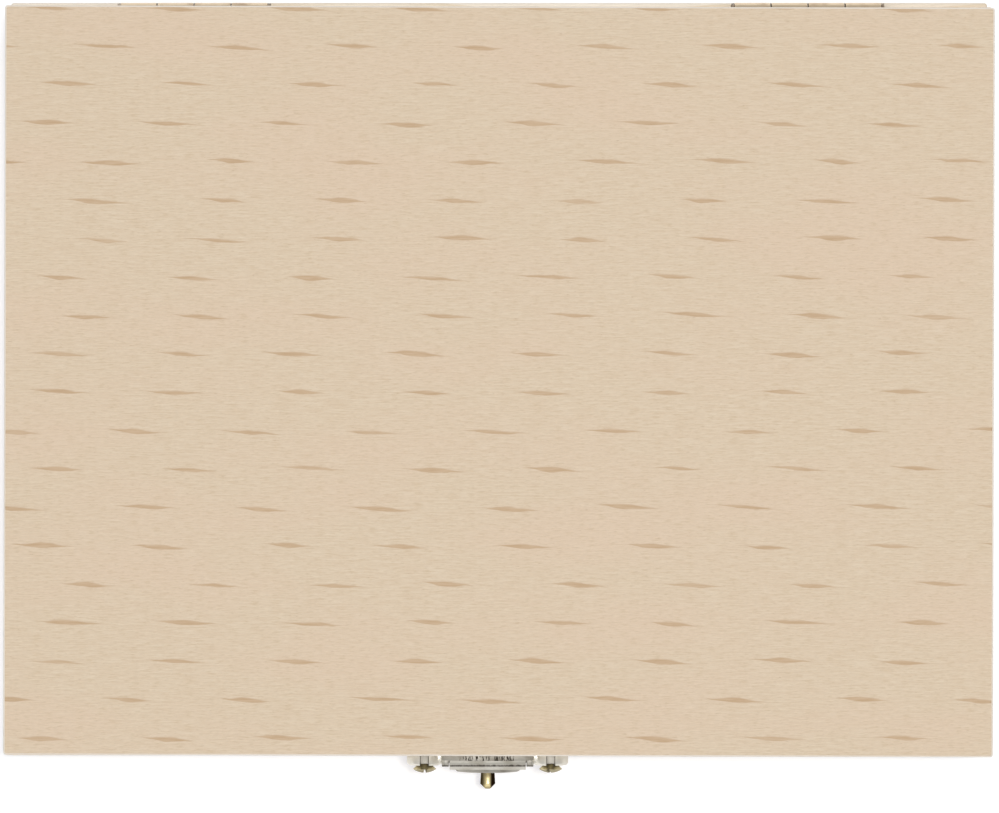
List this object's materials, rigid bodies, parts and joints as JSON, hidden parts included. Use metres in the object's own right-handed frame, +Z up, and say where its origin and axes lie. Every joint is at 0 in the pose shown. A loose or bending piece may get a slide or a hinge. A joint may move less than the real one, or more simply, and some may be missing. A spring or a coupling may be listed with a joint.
{
  "type": "brush box with hinged lid",
  "caption": "Flat rectangular wooden box for brushes, finger-jointed, with a hinged flecked-veneer lid, a hasp latch with a turned knob, and notched rests inside.",
  "frame": {"origin": "middle of the box's underside, on the surface that it stands on", "axes": "+X along the box's length to the right as seen from the latch, +Y to the hinges, +Z up"},
  "size_m": [0.1984, 0.1598, 0.0539],
  "materials": {
    "carcass_wood": "pale sanded softwood",
    "plywood": "sanded plywood",
    "panel_wood": "matt flecked beech",
    "hinge_brass": "brass-plated",
    "hinge_pin_steel": "drawn wire",
    "latch_nickel": "bright nickel plate",
    "spring_steel": "spring steel strip",
    "screw_brass": "bright brass",
    "knob_brass": "polished brass"
  },
  "bodies": {
    "body": {"front_board": "carcass_wood", "back_board": "carcass_wood", "left_board": "carcass_wood", "right_board": "carcass_wood", "bottom_panel": "plywood", "left_brush_rest": "carcass_wood", "right_brush_rest": "carcass_wood", "left_hinge_body_leaf": "hinge_brass", "left_hinge_body_screws": "hinge_brass", "left_hinge_pin": "hinge_pin_steel", "right_hinge_body_leaf": "hinge_brass", "right_hinge_body_screws": "hinge_brass", "right_hinge_pin": "hinge_pin_steel", "catch_plate": "latch_nickel", "catch_plate_screws": "screw_brass", "catch_spring": "spring_steel", "catch_rivet": "screw_brass"},
    "lid": {"lid_front_rail": "carcass_wood", "lid_back_rail": "carcass_wood", "lid_left_rail": "carcass_wood", "lid_right_rail": "carcass_wood", "lid_panel": "panel_wood", "left_hinge_lid_leaf": "hinge_brass", "left_hinge_lid_screws": "hinge_brass", "right_hinge_lid_leaf": "hinge_brass", "right_hinge_lid_screws": "hinge_brass", "latch_plate": "latch_nickel", "latch_plate_screws": "screw_brass", "latch_pin": "hinge_pin_steel"},
    "hasp": {"latch_hasp": "latch_nickel", "latch_knob": "knob_brass"}
  },
  "joints": [
    {"name": "lid_hinge", "type": "hinge", "parent": "body", "child": "lid", "pos_m": [0, 0.0743, 0.03715], "axis": [-1, 0, 0], "range_deg": [0, 104], "deforming": ["catch_spring"]},
    {"name": "hasp_hinge", "type": "hinge", "parent": "lid", "child": "hasp", "pos_m": [-0.0023, -0.07745, 0.03975], "axis": [-1, 0, 0], "range_deg": [0, 110]}
  ]
}
